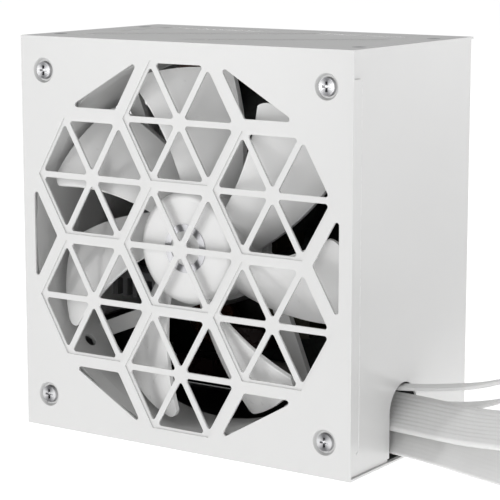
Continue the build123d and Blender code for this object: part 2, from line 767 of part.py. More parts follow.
with BuildPart() as board_standoffs:
    with BuildSketch(front_plane(back_y - sheet)):
        with Locations(*board_holes):
            Circle(standoff_radius)
            Circle(standoff_bore, mode=Mode.SUBTRACT)
    extrude(amount=standoff_height)
board_standoffs.part.label = "board_standoffs"
export_step(board_standoffs.part, "parts/board_standoffs.step")

with BuildPart() as board_screws:
    with BuildSketch(front_plane(board_y)):
        with Locations(*board_holes):
            Circle(board_screw_head)
    extrude(amount=board_screw_head_height)
    with BuildSketch(front_plane(board_y)):
        with Locations(*board_holes):
            Circle(standoff_bore)
    extrude(amount=-board_thickness - 0.8 * standoff_height)
board_screws.part.label = "board_screws"
export_step(board_screws.part, "parts/board_screws.step")


# ==== Parts on the board ====
# Each place is (X, Z) on the board; each height is measured from the board.
def block(places, length, width, height, corner=0.6):
    """Upright blocks on the board: length along X, width along Z."""
    with BuildPart() as made:
        with BuildSketch(front_plane(board_y - lead_clearance)):
            with Locations(*places):
                RectangleRounded(length, width, corner)
        extrude(amount=height)
    return made


def can(places, radius, height):
    """Upright round capacitors with a rolled groove near the foot."""
    groove = 0.05 * radius + 0.3
    with BuildPart() as made:
        with BuildSketch(front_plane(board_y - lead_clearance)):
            with Locations(*places):
                Circle(radius)
        extrude(amount=height)
        with BuildSketch(front_plane(board_y - lead_clearance - 3)):
            with Locations(*places):
                Circle(radius)
                Circle(radius - groove, mode=Mode.SUBTRACT)
        extrude(amount=1.2, mode=Mode.SUBTRACT)
    return made


def toroid(place, ring_radius, wire_radius, lift):
    """Wound ring lying over the board."""
    x, z = place
    with BuildPart() as made:
        with Locations(Location(Plane(origin=(x, board_y - lift - wire_radius, z), z_dir=(0, -1, 0)))):
            Torus(ring_radius, wire_radius)
    return made


heatsink_plate = 3.0
heatsink_height = 42.0
fin_thickness = 2.2
fin_pitch = 4.8
fin_length = 7.0
primary_plate_z = 53.5
primary_start_x = -58.8
primary_fins = 11
secondary_plate_z = 96.0
secondary_start_x = 12.0
secondary_fins = 9


def heatsink(x_from, count, plate_z, way):
    """Upright plate with fins on one side: way is -1 or +1 along Z."""
    length = (count - 1) * fin_pitch + fin_thickness
    with BuildPart() as made:
        with BuildSketch(front_plane(board_y - lead_clearance)):
            with Locations((x_from + length / 2, plate_z + heatsink_plate / 2)):
                Rectangle(length, heatsink_plate)
            for i in range(count):
                x = x_from + fin_thickness / 2 + i * fin_pitch
                root = plate_z + (heatsink_plate if way > 0 else 0)
                with Locations((x, root + way * fin_length / 2)):
                    Rectangle(fin_thickness, fin_length)
        extrude(amount=heatsink_height)
    return made


primary_heatsink = heatsink(primary_start_x, primary_fins, primary_plate_z, -1)
primary_heatsink.part.label = "primary_heatsink"
export_step(primary_heatsink.part, "parts/primary_heatsink.step")

secondary_heatsink = heatsink(secondary_start_x, secondary_fins, secondary_plate_z, 1)
secondary_heatsink.part.label = "secondary_heatsink"
export_step(secondary_heatsink.part, "parts/secondary_heatsink.step")

transistor_size = (10.0, 4.5, 15.5)
transistor_lift = 14.0
transistor_rows = ([(x, primary_plate_z + heatsink_plate + transistor_size[1] / 2) for x in (-50, -35, -20)]
                   + [(x, secondary_plate_z - transistor_size[1] / 2) for x in (22, 40)])
with BuildPart() as power_transistors:
    with BuildSketch(front_plane(board_y - transistor_lift)):
        with Locations(*transistor_rows):
            Rectangle(transistor_size[0], transistor_size[1])
    extrude(amount=transistor_size[2])
    with BuildSketch(front_plane(board_y)):
        with Locations(*transistor_rows):
            with GridLocations(2.54, 1, 3, 1):
                Rectangle(0.9, 0.6)
    extrude(amount=transistor_lift)
power_transistors.part.label = "power_transistors"
export_step(power_transistors.part, "parts/power_transistors.step")

# Places are (X, Z) on the board; sizes are length along X, width along Z, height from the board.
bulk_capacitor_places = [(-34, 86)]
bulk_capacitor_size = (15.0, 40.0)      # radius, height
output_capacitor_places = [(x, z) for x in (18, 31, 44, 57) for z in (116, 130)]
output_capacitor_size = (5.2, 24.0)
bridge_place = (-44, 108)
bridge_size = (22, 5, 16)
filter_places = [(-38, 14), (-14, 29)]
filter_size = (18, 9, 16)
choke_lift = 1.0
line_choke_place = (-36, 33)
line_choke_size = (7.5, 4.0)            # ring radius, winding radius
power_choke_place = (-40, 127)
output_choke_place = (43, 76)
large_choke_size = (9.0, 5.0)
fuse_start = (-18, 16)
fuse_lift = 4
fuse_radius = 2.6
fuse_length = 20
standby_place = (8, 42)
standby_size = (20, 18, 18)
standby_corner = 1.5
control_place = (34, 52)
control_size = (36, 1.6, 26)
control_corner = 0.3

bulk_capacitor = can(bulk_capacitor_places, *bulk_capacitor_size)
bulk_capacitor.part.label = "bulk_capacitor"
export_step(bulk_capacitor.part, "parts/bulk_capacitor.step")

output_capacitors = can(output_capacitor_places, *output_capacitor_size)
output_capacitors.part.label = "output_capacitors"
export_step(output_capacitors.part, "parts/output_capacitors.step")

bridge_rectifier = block([bridge_place], *bridge_size)
bridge_rectifier.part.label = "bridge_rectifier"
export_step(bridge_rectifier.part, "parts/bridge_rectifier.step")

filter_capacitors = block(filter_places, *filter_size)
filter_capacitors.part.label = "filter_capacitors"
export_step(filter_capacitors.part, "parts/filter_capacitors.step")

line_choke = toroid(line_choke_place, *line_choke_size, choke_lift)
line_choke.part.label = "line_choke"
export_step(line_choke.part, "parts/line_choke.step")

power_factor_choke = toroid(power_choke_place, *large_choke_size, choke_lift)
power_factor_choke.part.label = "power_factor_choke"
export_step(power_factor_choke.part, "parts/power_factor_choke.step")

output_choke = toroid(output_choke_place, *large_choke_size, choke_lift)
output_choke.part.label = "output_choke"
export_step(output_choke.part, "parts/output_choke.step")

with BuildPart() as main_fuse:
    with BuildSketch(Plane(origin=(fuse_start[0], board_y - fuse_lift, fuse_start[1]), z_dir=(1, 0, 0))):
        Circle(fuse_radius)
    extrude(amount=fuse_length)
main_fuse.part.label = "main_fuse"
export_step(main_fuse.part, "parts/main_fuse.step")

# Transformer: a square ferrite frame around a wound bobbin.
core_size = 34.0
core_thickness = 14.0
core_wall_size = 7.0
core_post_share = 1.2 * core_wall_size  # middle of the core to the middle of a winding window
core_lift = 3
core_place = (-2, 82)
bobbin_gap = 0.3
with BuildPart() as transformer_core:
    with BuildSketch(Plane.XY.offset(core_place[1] - core_thickness / 2)):
        with Locations((core_place[0], board_y - core_lift - core_size / 2)):
            Rectangle(core_size, core_size)
            with Locations((-core_post_share, 0), (core_post_share, 0)):
                Rectangle(core_size / 2 - core_post_share, core_size - 2 * core_wall_size,
                          mode=Mode.SUBTRACT)
    extrude(amount=core_thickness)
transformer_core.part.label = "transformer_core"
export_step(transformer_core.part, "parts/transformer_core.step")

window_x = core_size / 2 - core_post_share
post_x = 2 * (core_post_share - window_x / 2)
winding_reach = core_post_share + window_x / 2 - bobbin_gap
with BuildPart() as transformer_winding:
    with BuildSketch(front_plane(board_y - core_lift - core_wall_size - bobbin_gap)):
        with Locations(core_place):
            RectangleRounded(2 * winding_reach, core_thickness + 2 * (winding_reach - post_x / 2), 3)
            Rectangle(post_x + 2 * bobbin_gap, core_thickness + 2 * bobbin_gap, mode=Mode.SUBTRACT)
    extrude(amount=core_size - 2 * core_wall_size - 2 * bobbin_gap)
transformer_winding.part.label = "transformer_winding"
export_step(transformer_winding.part, "parts/transformer_winding.step")

standby_transformer = block([standby_place], *standby_size, standby_corner)
standby_transformer.part.label = "standby_transformer"
export_step(standby_transformer.part, "parts/standby_transformer.step")

control_board = block([control_place], *control_size, control_corner)
control_board.part.label = "control_board"
export_step(control_board.part, "parts/control_board.step")


# ==== Cable outlet bush, behind the notch ====
with BuildPart() as cable_bush:
    for radius, mode in ((outlet_radius + bush_wall, Mode.ADD), (outlet_radius, Mode.SUBTRACT)):
        with BuildSketch(side_plane(inner_x - bush_length)):
            with Locations((outlet_middle, outlet_height - outlet_radius)):
                Circle(radius)
            with Locations((outlet_middle, low_z + (outlet_height - outlet_radius - low_z) / 2)):
                Rectangle(2 * radius, outlet_height - outlet_radius - low_z)
        extrude(amount=bush_length, mode=mode)
cable_bush.part.label = "cable_bush"
export_step(cable_bush.part, "parts/cable_bush.step")


# ==== Cables: flat, laid out of the outlet and wound into one stack of coils ====
# Every coil turns counter-clockwise seen from above, on a level of its own.
stack_middle = (181.3, 31.6)
stack_radius = 64.0      # outermost turn of every coil
stack_low = 1.3          # a tie passes below
level_gap = 0.3
turn_room = 0.6          # coil's solid beyond its turns
stub_room = 0.9          # stub wider than the stretch that it takes in
plug_low = 0.3

processor_across = 12.8
processor_thick = 1.8
processor_pitch = 5.0
processor_turns = 1.283
processor_lean = 35.0
processor_heading = -12.0
main_across = 16.2
main_thick = 3.6
main_pitch = 6.5
main_turns = 1.125
main_lean = 46.0
main_heading = -16.0
drive_across = 6.4
drive_thick = 1.7
drive_pitch = 3.0
drive_turns = 1.667
drive_lean = 46.0
drive_heading = -30.0
peripheral_across = 6.4
peripheral_thick = 1.7
peripheral_pitch = 3.0
peripheral_turns = 1.733
peripheral_lean = 88.0
peripheral_heading = -24.0
processor_low = stack_low
main_low = processor_low + processor_across + level_gap
drive_low = main_low + main_across + level_gap
peripheral_low = drive_low + drive_across + level_gap
stack_high = peripheral_low + peripheral_across

# Routes from inside the outlet to each coil.
processor_route = [(62, -8.2, 8.5), (78, -9.6, 8.4), (95, -13.4, 8.0), (114, -19.3, 7.8), (134.7, -23.9, 7.7)]
main_route = [(62, -6.5, 17.4), (77, -7.3, 17.4), (92, -9.8, 17.4), (108, -14.0, 18.2), (129.1, -20.0, 21.6)]
drive_route = [(62, 0.5, 18.6), (76, 1.5, 18.8), (90, 2.4, 20.0), (103, 1.4, 22.8), (115, -4.0, 28.0),
               (126.8, -10.8, 34.0)]
peripheral_route = [(62, -4.6, 25.4), (75, -4.7, 26.4), (90, -5.0, 28.6), (104, -6.4, 31.4), (117, -10.4, 36.2),
                    (131.5, -16.3, 40.8)]

# Loose ends inside the stack, from the middle of the stack, down to each plug.
processor_tail = [(54.9, 0, 7.7), (54.0, 9.5, 7.7), (50.5, 19.0, 7.5), (43.0, 26.5, 7.2), (34.5, 30.0, 6.9),
                  (25.0, 30.0, 6.8)]
main_tail = [(25.3, -45.7, 22.5), (32.3, -40.6, 22.5), (41.6, -26.0, 20.0), (42.4, -8.3, 16.0), (33.8, 7.2, 12.0),
             (18.6, 16.3, 9.2), (-10.0, 17.0, 8.5)]
drive_tail = [(-28.2, 48.8, 34.1), (-38.5, 40.0, 34.1), (-44.5, 28.0, 34.1), (-48.0, 14.0, 30.0), (-46.5, 0, 24.0),
              (-42.0, -13.5, 17.5), (-34.5, -24.5, 11.5), (-25.0, -33.0, 6.5), (-14.0, -37.5, 4.0),
              (-3.0, -38.0, 3.7)]
peripheral_tail = [(-48.6, 28.2, 40.8), (-52.5, 14.0, 40.8), (-47.5, 0, 38.5), (-39.0, -12.0, 34.0),
                   (-27.0, -20.5, 27.5), (-13.0, -24.5, 19.5), (1.0, -23.5, 11.5), (8.0, -17.5, 6.0),
                   (8.5, -10.0, 3.8)]


def corner_radii(points):
    """As large an arc at each corner as its two runs allow."""
    route = [Vector(*p) for p in points]
    runs = [b - a for a, b in zip(route, route[1:])]
    return [
        0.45 * min(a.length, b.length) / tan(radians(a.get_angle(b)) / 2) for a, b in zip(runs, runs[1:])
    ]


def strip(points, across, thick, lean=0):
    """Flat cable along a route; lean slants its width from upright, to the left of where it heads."""
    radii = corner_radii(points)
    with BuildLine() as route:
        FilletPolyline(*points, radius=radii)
    path = route.wires()[0]
    heading = path % 0
    side = Vector(0, 0, 1).cross(heading).normalized()
    with BuildPart() as made:
        with BuildSketch(Plane(origin=path @ 0, x_dir=side, z_dir=heading)):
            Rectangle(thick, across, rotation=-lean)
        sweep(path=path)
    print("flat cable volume over section times length", round(made.part.volume / (across * thick * path.length), 4),
          "length", round(path.length, 1), "radii", [round(r, 1) for r in radii])
    return made


def in_stack(points):
    return [(stack_middle[0] + x, stack_middle[1] + y, z) for x, y, z in points]


def coil(across, thick, pitch, turns, lean, low, entry, heading):
    """Closed solid of a flat cable's turns, with a stub that takes in the stretch from the outlet."""
    outer = stack_radius + thick / 2 + turn_room
    inner = stack_radius - pitch * turns - thick / 2 - turn_room
    half_entry = (across * sin(radians(lean)) + thick * cos(radians(lean))) / 2 + stub_room / 2
    stub_length = sqrt(outer ** 2 - (stack_radius - half_entry) ** 2) + 2 * stub_room
    with BuildPart() as made:
        with BuildSketch(Plane.XY.offset(low)):
            with Locations(stack_middle):
                Circle(outer)
            with Locations(Location((entry[0], entry[1], 0), (0, 0, heading))):
                Rectangle(stub_length, 2 * half_entry, align=(Align.MIN, Align.CENTER))
            with Locations(stack_middle):
                Circle(inner, mode=Mode.SUBTRACT)
        extrude(amount=across)
    return made


for name, route, across, thick, lean in (
    ("processor_cable", processor_route, processor_across, processor_thick, processor_lean),
    ("main_cable", main_route, main_across, main_thick, main_lean),
    ("drive_cable", drive_route, drive_across, drive_thick, drive_lean),
    ("peripheral_cable", peripheral_route, peripheral_across, peripheral_thick, peripheral_lean),
):
    stretch = strip(route, across, thick, lean)
    stretch.part.label = name
    export_step(stretch.part, "parts/" + name + ".step")

for name, route, across, thick in (
    ("processor_cable_end", processor_tail, processor_across, processor_thick),
    ("main_cable_end", main_tail, main_across, main_thick),
    ("drive_cable_end", drive_tail, drive_across, drive_thick),
    ("peripheral_cable_end", peripheral_tail, peripheral_across, peripheral_thick),
):
    stretch = strip(in_stack(route), across, thick)
    stretch.part.label = name
    export_step(stretch.part, "parts/" + name + ".step")

processor_coil = coil(processor_across, processor_thick, processor_pitch, processor_turns, processor_lean,
                      processor_low, processor_route[-1], processor_heading)
processor_coil.part.label = "processor_coil"
export_step(processor_coil.part, "parts/processor_coil.step")

main_coil = coil(main_across, main_thick, main_pitch, main_turns, main_lean,
                 main_low, main_route[-1], main_heading)
main_coil.part.label = "main_coil"
export_step(main_coil.part, "parts/main_coil.step")

drive_coil = coil(drive_across, drive_thick, drive_pitch, drive_turns, drive_lean,
                  drive_low, drive_route[-1], drive_heading)
drive_coil.part.label = "drive_coil"
export_step(drive_coil.part, "parts/drive_coil.step")

peripheral_coil = coil(peripheral_across, peripheral_thick, peripheral_pitch, peripheral_turns, peripheral_lean,
                       peripheral_low, peripheral_route[-1], peripheral_heading)
peripheral_coil.part.label = "peripheral_coil"
export_step(peripheral_coil.part, "parts/peripheral_coil.step")


# ==== Ties around the stack of coils ====
tie_angles = (80.0, -80.0)
tie_width = 8.0
tie_thickness = 1.0
tie_room = 0.4
with BuildPart() as cable_ties:
    for angle in tie_angles:
        inner_radius = stack_radius - main_pitch * main_turns - main_thick / 2 - turn_room - tie_room
        outer_radius = stack_radius + main_thick / 2 + turn_room + tie_room
        outwards = Vector(cos(radians(angle)), sin(radians(angle)), 0)
        along = outwards.cross(Vector(0, 0, 1))
        start = Vector(*stack_middle, (stack_low + stack_high) / 2) + outwards * (inner_radius + outer_radius) / 2
        loop_width = outer_radius - inner_radius
        loop_height = stack_high - stack_low + 0.4
        with BuildSketch(Plane(origin=start - along * tie_width / 2, x_dir=outwards, z_dir=along)):
            RectangleRounded(loop_width + 2 * tie_thickness, loop_height + 2 * tie_thickness, 2 * tie_thickness)
            RectangleRounded(loop_width, loop_height, tie_thickness, mode=Mode.SUBTRACT)
        extrude(amount=tie_width)
cable_ties.part.label = "cable_ties"
export_step(cable_ties.part, "parts/cable_ties.step")


# ==== Plugs ====
def plug(end, heading, across, length, height, cells, cell_size):
    """Moulded plug on a cable's end, with rows of square cells in its mating face."""
    x, y = stack_middle[0] + end[0], stack_middle[1] + end[1]
    forward = Vector(cos(radians(heading)), sin(radians(heading)), 0)
    left = Vector(-forward.Y, forward.X, 0)
    back = Plane(origin=(x, y, plug_low + height / 2), x_dir=left, z_dir=forward)
    with BuildPart() as made:
        with BuildSketch(back):
            RectangleRounded(across, height, 0.6)
        extrude(amount=length)
        with BuildSketch(back.offset(length)):
            with GridLocations(across / cells[0], height / cells[1], cells[0], cells[1]):
                Rectangle(cell_size, cell_size)
        extrude(amount=-length * 0.7, mode=Mode.SUBTRACT)
    return made


main_plug_size = (51.6, 14.5, 9.6)          # across, along, high
processor_plug_size = (18.0, 14.0, 9.6)
drive_plug_size = (23.0, 12.0, 6.8)
peripheral_plug_size = (21.0, 20.0, 7.0)
main_plug = plug(main_tail[-1], 180, *main_plug_size, (12, 2), 3.3)
main_plug.part.label = "main_plug"
export_step(main_plug.part, "parts/main_plug.step")

processor_plug = plug(processor_tail[-1], 180, *processor_plug_size, (4, 2), 3.3)
processor_plug.part.label = "processor_plug"
export_step(processor_plug.part, "parts/processor_plug.step")

drive_plug = plug(drive_tail[-1], 0, *drive_plug_size, (15, 1), 1.0)
drive_plug.part.label = "drive_plug"
export_step(drive_plug.part, "parts/drive_plug.step")

peripheral_plug = plug(peripheral_tail[-1], 90, *peripheral_plug_size, (4, 1), 3.6)
peripheral_plug.part.label = "peripheral_plug"
export_step(peripheral_plug.part, "parts/peripheral_plug.step")
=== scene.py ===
import json
from math import cos, pi, radians, sin

import bmesh
import bpy
from mathutils import Euler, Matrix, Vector


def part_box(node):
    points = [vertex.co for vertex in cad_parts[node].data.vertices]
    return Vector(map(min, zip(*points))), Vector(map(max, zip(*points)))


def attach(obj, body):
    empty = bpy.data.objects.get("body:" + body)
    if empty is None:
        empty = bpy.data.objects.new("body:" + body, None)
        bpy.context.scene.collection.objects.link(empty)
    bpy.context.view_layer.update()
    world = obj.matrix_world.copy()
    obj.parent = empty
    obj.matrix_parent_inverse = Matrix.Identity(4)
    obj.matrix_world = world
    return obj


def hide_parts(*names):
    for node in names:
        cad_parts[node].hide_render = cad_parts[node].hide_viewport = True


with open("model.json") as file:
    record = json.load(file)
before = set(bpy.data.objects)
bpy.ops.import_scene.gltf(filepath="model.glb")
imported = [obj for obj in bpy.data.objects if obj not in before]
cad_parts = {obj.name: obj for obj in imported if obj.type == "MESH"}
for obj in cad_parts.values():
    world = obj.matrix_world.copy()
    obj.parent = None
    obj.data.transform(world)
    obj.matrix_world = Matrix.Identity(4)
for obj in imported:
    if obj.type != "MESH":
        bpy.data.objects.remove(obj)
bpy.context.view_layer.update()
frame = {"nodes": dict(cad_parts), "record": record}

# A desktop power supply standing on one of its narrow sides. Metres; +X is the cable side, -Y the fan side.
MM = 0.001
CASE_CENTRE = Vector((0, 0, 0.075))
STACK_MIDDLE = Vector((0.1813, 0.0316, 0))
SCREW_SPACING = 0.1245

# Where the casing's sheet turns from outer to inner side, as distances from SHEET_MIDDLE.
SHEET_MIDDLE = (0, 0.0003, 0.075)
INNER_HALF_LENGTH = 0.07125
INNER_HALF_DEPTH = 0.04205
INNER_HALF_HEIGHT = 0.07425

FOCAL_LENGTH = 139.67
SENSOR_WIDTH = 36
CAMERA_PLACE = (0.40805, -0.60176, 0.19582)
CAMERA_TILT_DOWN = 0.1729
CAMERA_TURN = 0.5936


# ==== Camera ====
def make_camera():
    data = bpy.data.cameras.new("Camera")
    data.lens = FOCAL_LENGTH
    data.sensor_width = SENSOR_WIDTH
    data.clip_start = 0.01
    camera = bpy.data.objects.new("Camera", data)
    bpy.context.scene.collection.objects.link(camera)
    camera.location = CAMERA_PLACE
    camera.rotation_euler = Euler((pi / 2 - CAMERA_TILT_DOWN, 0, CAMERA_TURN))
    bpy.context.scene.camera = camera


make_camera()


# ==== Shared helpers ====
def add_object(name, data):
    piece = bpy.data.objects.new(name, data)
    bpy.context.scene.collection.objects.link(piece)
    return piece


def mesh_piece(name, mesh_builder, material, body="casing", smooth_angle=40):
    """One finished piece from a bmesh: normals outwards, smooth up to an angle, riding on a body."""
    bmesh.ops.recalc_face_normals(mesh_builder, faces=mesh_builder.faces)
    mesh = bpy.data.meshes.new(name)
    mesh_builder.to_mesh(mesh)
    mesh_builder.free()
    mesh.materials.append(material)
    mesh.shade_smooth()
    mesh.set_sharp_from_angle(angle=radians(smooth_angle))
    piece = add_object(name, mesh)
    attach(piece, body)
    return piece


# ==== Materials ====
class Finish:
    """A procedural surface: one shader fed by patterns on Object coordinates."""

    def __init__(self, name):
        self.material = bpy.data.materials.new(name)
        self.material.use_nodes = True
        self.nodes = self.material.node_tree.nodes
        self.links = self.material.node_tree.links
        self.shader = self.nodes["Principled BSDF"]
        self.place = self.nodes.new("ShaderNodeTexCoord").outputs["Object"]
        self.last_normal = None

    def link(self, output, socket):
        self.links.new(output, socket)

    def set(self, **values):
        """Uniform values, put straight on the shader's sockets."""
        for name, value in values.items():
            self.shader.inputs[name.replace("_", " ")].default_value = value
        return self

    def stretched(self, scale):
        mapping = self.nodes.new("ShaderNodeMapping")
        mapping.inputs["Scale"].default_value = scale
        self.link(self.place, mapping.inputs["Vector"])
        return mapping.outputs["Vector"]

    def noise(self, scale, detail=4.0, roughness=0.55, where=None):
        node = self.nodes.new("ShaderNodeTexNoise")
        node.inputs["Scale"].default_value = scale
        node.inputs["Detail"].default_value = detail
        node.inputs["Roughness"].default_value = roughness
        self.link(where or self.place, node.inputs["Vector"])
        return node.outputs["Fac"]

    def cells(self, scale, feature="F1", where=None):
        node = self.nodes.new("ShaderNodeTexVoronoi")
        node.feature = feature
        node.inputs["Scale"].default_value = scale
        self.link(where or self.place, node.inputs["Vector"])
        return node.outputs["Distance"]

    def waves(self, scale, direction="X", distortion=0.0, where=None, kind="BANDS"):
        node = self.nodes.new("ShaderNodeTexWave")
        node.wave_type = kind
        if kind == "BANDS":
            node.bands_direction = direction
        else:
            node.rings_direction = direction
        node.inputs["Scale"].default_value = scale
        node.inputs["Distortion"].default_value = distortion
        node.inputs["Detail"].default_value = 2.0
        self.link(where or self.place, node.inputs["Vector"])
        return node.outputs["Fac"]

    def ramp(self, value, stops):
        node = self.nodes.new("ShaderNodeValToRGB")
        while len(node.color_ramp.elements) < len(stops):
            node.color_ramp.elements.new(0.5)
        for element, (position, colour) in zip(node.color_ramp.elements, stops):
            element.position = position
            element.color = (*colour, 1)
        self.link(value, node.inputs["Fac"])
        return node.outputs["Color"]

    def spread(self, value, low, high, from_low=0.3, from_high=0.7):
        node = self.nodes.new("ShaderNodeMapRange")
        node.inputs["From Min"].default_value = from_low
        node.inputs["From Max"].default_value = from_high
        node.inputs["To Min"].default_value = low
        node.inputs["To Max"].default_value = high
        self.link(value, node.inputs["Value"])
        return node.outputs["Result"]

    def mix(self, factor, first, second, kind="MIX"):
        node = self.nodes.new("ShaderNodeMix")
        node.data_type = "RGBA"
        node.blend_type = kind
        self.link(factor, node.inputs["Factor"])
        for socket, value in ((node.inputs[6], first), (node.inputs[7], second)):
            if isinstance(value, tuple):
                socket.default_value = (*value, 1)
            else:
                self.link(value, socket)
        return node.outputs[2]

    def calculate(self, operation, first, second=0.0):
        node = self.nodes.new("ShaderNodeMath")
        node.operation = operation
        for socket, value in zip(node.inputs, (first, second)):
            if isinstance(value, float):
                socket.default_value = value
            else:
                self.link(value, socket)
        return node.outputs["Value"]

    def folded(self, middle):
        """Distances from a middle along X, Y and Z, the same on both sides."""
        moved = self.nodes.new("ShaderNodeVectorMath")
        moved.operation = "SUBTRACT"
        moved.inputs[1].default_value = middle
        self.link(self.place, moved.inputs[0])
        folded = self.nodes.new("ShaderNodeVectorMath")
        folded.operation = "ABSOLUTE"
        self.link(moved.outputs["Vector"], folded.inputs[0])
        parts = self.nodes.new("ShaderNodeSeparateXYZ")
        self.link(folded.outputs["Vector"], parts.inputs["Vector"])
        return parts.outputs["X"], parts.outputs["Y"], parts.outputs["Z"]

    def bump(self, height, strength, distance):
        node = self.nodes.new("ShaderNodeBump")
        node.inputs["Strength"].default_value = strength
        node.inputs["Distance"].default_value = distance
        self.link(height, node.inputs["Height"])
        if self.last_normal is not None:
            self.link(self.last_normal, node.inputs["Normal"])
        self.last_normal = node.outputs["Normal"]
        self.link(self.last_normal, self.shader.inputs["Normal"])
        return self

    def colour(self, value):
        self.link(value, self.shader.inputs["Base Color"])
        return self

    def roughness(self, value):
        self.link(value, self.shader.inputs["Roughness"])
        return self


def shade(colour, factor):
    return tuple(min(1.0, channel * factor) for channel in colour)


def white_enamel():
    """Satin white powder coat outside, with very fine orange peel; the sheet's inner side is painted
    near-black as painted shade of the unlit inside.
    """
    paint = Finish("white_enamel")
    tone = (0.80, 0.80, 0.795)
    coat = paint.ramp(paint.noise(18, 3), [(0.35, shade(tone, 0.985)), (0.65, tone)])
    across, deep, high = paint.folded(SHEET_MIDDLE)
    inner_sides = paint.calculate("LESS_THAN", across, INNER_HALF_LENGTH)
    inner_faces = paint.calculate("LESS_THAN", deep, INNER_HALF_DEPTH)
    inner_ends = paint.calculate("LESS_THAN", high, INNER_HALF_HEIGHT)
    between_faces = paint.calculate("MULTIPLY", inner_sides, inner_faces)
    inside = paint.calculate("MULTIPLY", between_faces, inner_ends)
    # Near-black painted shade on the sheet's inner faces, standing in for the unlit inside of the case.
    painted_interior_shade = paint.ramp(paint.noise(60, 3),
                        [(0.3, (0.010, 0.010, 0.011)), (0.7, (0.016, 0.016, 0.017))])
    paint.colour(paint.mix(inside, coat, painted_interior_shade))
    paint.roughness(paint.spread(paint.noise(160, 3), 0.30, 0.37))
    paint.bump(paint.cells(1900, "SMOOTH_F1"), 0.10, 0.00004)
    paint.bump(paint.noise(650, 2), 0.10, 0.00005)
    paint.set(Specular_IOR_Level=0.5, Coat_Weight=1.0, Coat_Roughness=0.28)
    return paint.material


def moulded(name, colour, rough=0.45, grain=900.0, depth=0.00003, variation=0.94, **values):
    """Moulded plastic: fine spark-eroded grain with a slight change of tone."""
    plastic = Finish(name)
    tones = [(0.35, shade(colour, variation)), (0.65, colour)]
    plastic.colour(plastic.ramp(plastic.noise(45, 3), tones))
    plastic.roughness(plastic.spread(plastic.noise(210, 3), rough - 0.05, rough + 0.06))
    plastic.bump(plastic.noise(grain, 3, 0.6), 0.25, depth)
    plastic.set(**values)
    return plastic.material


def chrome_plate(name, fan_side=False):
    """Bright plate; on the fan's screws a painted reflection darkens wedges above and below each middle,
    standing in for a turned head's reflections.
    """
    chrome = Finish(name)
    base = chrome.ramp(chrome.noise(120, 3),
                       [(0.35, (0.55, 0.55, 0.56)), (0.65, (0.68, 0.68, 0.69))])
    if fan_side:
        across, _, high = chrome.folded(CASE_CENTRE)
        side = chrome.calculate("SUBTRACT", across, SCREW_SPACING / 2)
        rise = chrome.calculate("SUBTRACT", high, SCREW_SPACING / 2)
        side_square = chrome.calculate("MULTIPLY", side, side)
        rise_square = chrome.calculate("MULTIPLY", rise, rise)
        squares = chrome.calculate("ADD", side_square, rise_square)
        reach = chrome.calculate("ADD", squares, 0.0000002)
        reflection_wedge = chrome.calculate("DIVIDE", rise_square, reach)
        # Painted reflection: dark wedges above and below each screw's middle, lighter ones at its sides.
        turned = chrome.ramp(reflection_wedge, [(0.05, (0.62, 0.62, 0.63)), (0.45, (0.34, 0.34, 0.35)),
                                     (0.95, (0.07, 0.07, 0.075))])
        base = chrome.mix(chrome.spread(chrome.noise(300, 3), 0.75, 1.0), base, turned)
    chrome.colour(base)
    chrome.roughness(chrome.spread(chrome.noise(500, 4), 0.16, 0.28))
    chrome.bump(chrome.noise(1400, 3), 0.12, 0.00002)
    return chrome.set(Metallic=1.0).material


def drawn_metal(name, colour, rough=0.32, grain=(60, 60, 2600), metallic=1.0):
    """Metal with fine drawn or rolled lines along one direction."""
    metal = Finish(name)
    lines = metal.noise(1.0, 5, 0.65, metal.stretched(grain))
    metal.colour(metal.ramp(lines, [(0.3, shade(colour, 0.82)), (0.7, colour)]))
    metal.roughness(metal.spread(metal.noise(90, 3), rough - 0.07, rough + 0.09))
    metal.bump(lines, 0.16, 0.00004)
    return metal.set(Metallic=metallic).material


def cast_ferrite():
    ferrite = Finish("cast_ferrite")
    ferrite.colour(ferrite.ramp(ferrite.cells(900),
                                [(0.1, (0.016, 0.016, 0.018)), (0.8, (0.05, 0.05, 0.052))]))
    ferrite.roughness(ferrite.spread(ferrite.noise(300, 4), 0.55, 0.72))
    ferrite.bump(ferrite.noise(1100, 4, 0.65), 0.35, 0.00008)
    return ferrite.material


def copper_darkened_as_shade():
    """Enamelled wire laid side by side, its tones darkened far below copper as painted shade of the unlit
    interior.
    """
    copper = Finish("copper_darkened_as_shade")
    turns = copper.waves(520, "DIAGONAL", 1.2)
    copper.colour(copper.ramp(turns, [(0.15, (0.020, 0.007, 0.004)), (0.75, (0.10, 0.035, 0.015))]))
    copper.roughness(copper.spread(copper.noise(260, 3), 0.24, 0.36))
    copper.bump(turns, 0.6, 0.0003)
    return copper.set(Metallic=0.75).material


def winding_tape():
    tape = Finish("winding_tape")
    layers = tape.waves(230, "Y", 0.6)
    # Tones darkened nearly to black as painted shade of the unlit interior.
    tape.colour(tape.ramp(layers, [(0.1, (0.018, 0.014, 0.006)), (0.6, (0.036, 0.028, 0.011))]))
    tape.roughness(tape.spread(tape.noise(150, 3), 0.30, 0.45))
    tape.bump(layers, 0.3, 0.0001)
    return tape.material


def printed_board():
    """Black solder mask over copper tracks."""
    board = Finish("printed_board")
    tracks = board.cells(190, "DISTANCE_TO_EDGE")
    board.colour(board.ramp(tracks, [(0.02, (0.006, 0.008, 0.008)), (0.09, (0.013, 0.017, 0.016))]))
    board.roughness(board.spread(board.noise(120, 3), 0.30, 0.42))
    board.bump(tracks, 0.2, 0.00006)
    return board.material


def shrink_sleeve():
    sleeve = Finish("shrink_sleeve")
    creases = sleeve.noise(1.0, 4, 0.6, sleeve.stretched((90, 700, 90)))
    sleeve.colour(sleeve.ramp(creases, [(0.3, (0.008, 0.008, 0.011)), (0.7, (0.022, 0.022, 0.028))]))
    sleeve.roughness(sleeve.spread(sleeve.noise(240, 3), 0.22, 0.34))
    sleeve.bump(creases, 0.2, 0.00008)
    return sleeve.material


